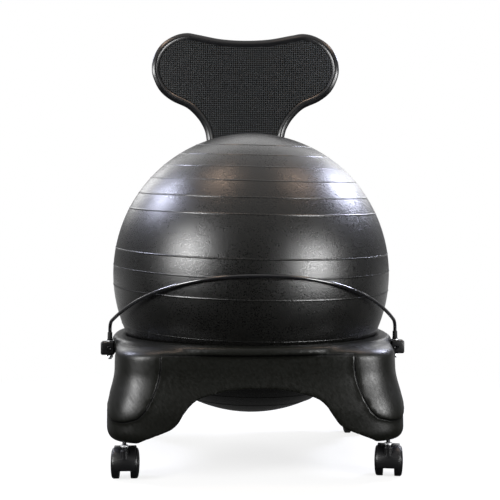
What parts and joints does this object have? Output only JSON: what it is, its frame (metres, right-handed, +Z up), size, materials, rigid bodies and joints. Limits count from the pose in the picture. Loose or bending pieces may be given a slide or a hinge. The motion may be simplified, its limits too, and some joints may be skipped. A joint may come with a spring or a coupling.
{
  "type": "balance ball chair",
  "caption": "Balance ball chair: an inflated ball seat in a hollow four-legged base on swivel casters, with a swinging guard bar and a small contoured back.",
  "frame": {"origin": "on the floor under the middle of the chair's overall width and length", "axes": "+Z up; +Y to the rear, where the back stands; +X to the right as seen from the front"},
  "size_m": [0.5306, 0.5468, 0.808],
  "materials": {
    "base_plastic": "satin, finely brushed",
    "ball_vinyl": "satin vinyl with thin seams",
    "back_plastic": "glossy rolled edge",
    "back_panel": "fine mesh texture",
    "black_enamel": "gloss black enamel",
    "block_plastic": "satin",
    "caster_nylon": "matt nylon",
    "zinc_steel": "zinc plated",
    "black_rubber": "matt"
  },
  "bodies": {
    "base": {"seat_base": "base_plastic", "back_frame": "black_enamel", "back_shell": "back_plastic", "back_panel": "back_panel", "caster_socket_front_left": "zinc_steel", "caster_socket_front_right": "zinc_steel", "caster_socket_rear_left": "zinc_steel", "caster_socket_rear_right": "zinc_steel", "pivot_bush_left": "block_plastic", "tube_cap_left": "black_rubber", "pivot_bush_right": "block_plastic", "tube_cap_right": "black_rubber", "frame_bolt_left_1": "zinc_steel", "back_screw_left_1": "zinc_steel", "frame_bolt_left_2": "zinc_steel", "back_screw_left_2": "zinc_steel", "frame_bolt_right_1": "zinc_steel", "back_screw_right_1": "zinc_steel", "frame_bolt_right_2": "zinc_steel", "back_screw_right_2": "zinc_steel"},
    "ball": {"ball_shell": "ball_vinyl", "valve_plug": "black_rubber"},
    "guard_bar": {"guard_bar": "black_enamel", "bar_block_left": "block_plastic", "bar_washer_left": "zinc_steel", "bar_sleeve_left": "black_rubber", "bar_nut_left": "zinc_steel", "clamp_screw_left": "black_enamel", "bar_block_right": "block_plastic", "bar_washer_right": "zinc_steel", "bar_sleeve_right": "black_rubber", "bar_nut_right": "zinc_steel", "clamp_screw_right": "black_enamel"},
    "caster_front_left": {"caster_stem_front_left": "zinc_steel", "caster_hood_front_left": "caster_nylon", "caster_axle_front_left": "zinc_steel"},
    "wheel_front_left_left": {"caster_wheel_front_left_left": "caster_nylon"},
    "wheel_front_left_right": {"caster_wheel_front_left_right": "caster_nylon"},
    "caster_front_right": {"caster_stem_front_right": "zinc_steel", "caster_hood_front_right": "caster_nylon", "caster_axle_front_right": "zinc_steel"},
    "wheel_front_right_left": {"caster_wheel_front_right_left": "caster_nylon"},
    "wheel_front_right_right": {"caster_wheel_front_right_right": "caster_nylon"},
    "caster_rear_left": {"caster_stem_rear_left": "zinc_steel", "caster_hood_rear_left": "caster_nylon", "caster_axle_rear_left": "zinc_steel", "brake_pin_rear_left": "zinc_steel"},
    "wheel_rear_left_left": {"caster_wheel_rear_left_left": "caster_nylon"},
    "wheel_rear_left_right": {"caster_wheel_rear_left_right": "caster_nylon"},
    "brake_rear_left": {"brake_lever_rear_left": "caster_nylon"},
    "caster_rear_right": {"caster_stem_rear_right": "zinc_steel", "caster_hood_rear_right": "caster_nylon", "caster_axle_rear_right": "zinc_steel", "brake_pin_rear_right": "zinc_steel"},
    "wheel_rear_right_left": {"caster_wheel_rear_right_left": "caster_nylon"},
    "wheel_rear_right_right": {"caster_wheel_rear_right_right": "caster_nylon"},
    "brake_rear_right": {"brake_lever_rear_right": "caster_nylon"}
  },
  "joints": [
    {"name": "ball_lift", "type": "slide", "parent": "base", "child": "ball", "axis": [0, 0, 1], "range_m": [0, 0.15]},
    {"name": "guard_bar_swing", "type": "hinge", "parent": "base", "child": "guard_bar", "pos_m": [0, -0.10052, 0.203], "axis": [1, 0, 0], "range_deg": [0, 30]},
    {"name": "swivel_front_left", "type": "hinge", "parent": "base", "child": "caster_front_left", "pos_m": [-0.2164, -0.22452, 0.05], "axis": [0, 0, 1], "continuous": true},
    {"name": "roll_front_left_left", "type": "hinge", "parent": "caster_front_left", "child": "wheel_front_left_left", "pos_m": [-0.2164, -0.20452, 0.025], "axis": [1, 0, 0], "continuous": true},
    {"name": "roll_front_left_right", "type": "hinge", "parent": "caster_front_left", "child": "wheel_front_left_right", "pos_m": [-0.2164, -0.20452, 0.025], "axis": [1, 0, 0], "continuous": true},
    {"name": "swivel_front_right", "type": "hinge", "parent": "base", "child": "caster_front_right", "pos_m": [0.2164, -0.22452, 0.05], "axis": [0, 0, 1], "continuous": true},
    {"name": "roll_front_right_left", "type": "hinge", "parent": "caster_front_right", "child": "wheel_front_right_left", "pos_m": [0.22056, -0.20495, 0.025], "axis": [0.9781, -0.2079, 0], "continuous": true},
    {"name": "roll_front_right_right", "type": "hinge", "parent": "caster_front_right", "child": "wheel_front_right_right", "pos_m": [0.22056, -0.20495, 0.025], "axis": [0.9781, -0.2079, 0], "continuous": true},
    {"name": "swivel_rear_left", "type": "hinge", "parent": "base", "child": "caster_rear_left", "pos_m": [-0.2164, 0.18948, 0.05], "axis": [0, 0, 1], "continuous": true},
    {"name": "roll_rear_left_left", "type": "hinge", "parent": "caster_rear_left", "child": "wheel_rear_left_left", "pos_m": [-0.2164, 0.16948, 0.025], "axis": [-1, 0, 0], "continuous": true},
    {"name": "roll_rear_left_right", "type": "hinge", "parent": "caster_rear_left", "child": "wheel_rear_left_right", "pos_m": [-0.2164, 0.16948, 0.025], "axis": [-1, 0, 0], "continuous": true},
    {"name": "brake_press_rear_left", "type": "hinge", "parent": "caster_rear_left", "child": "brake_rear_left", "pos_m": [-0.2164, 0.14556, 0.04175], "axis": [1, 0, 0], "range_deg": [0, 20]},
    {"name": "swivel_rear_right", "type": "hinge", "parent": "base", "child": "caster_rear_right", "pos_m": [0.2164, 0.18948, 0.05], "axis": [0, 0, 1], "continuous": true},
    {"name": "roll_rear_right_left", "type": "hinge", "parent": "caster_rear_right", "child": "wheel_rear_right_left", "pos_m": [0.2164, 0.16948, 0.025], "axis": [-1, 0, 0], "continuous": true},
    {"name": "roll_rear_right_right", "type": "hinge", "parent": "caster_rear_right", "child": "wheel_rear_right_right", "pos_m": [0.2164, 0.16948, 0.025], "axis": [-1, 0, 0], "continuous": true},
    {"name": "brake_press_rear_right", "type": "hinge", "parent": "caster_rear_right", "child": "brake_rear_right", "pos_m": [0.2164, 0.14556, 0.04175], "axis": [1, 0, 0], "range_deg": [0, 20]}
  ]
}
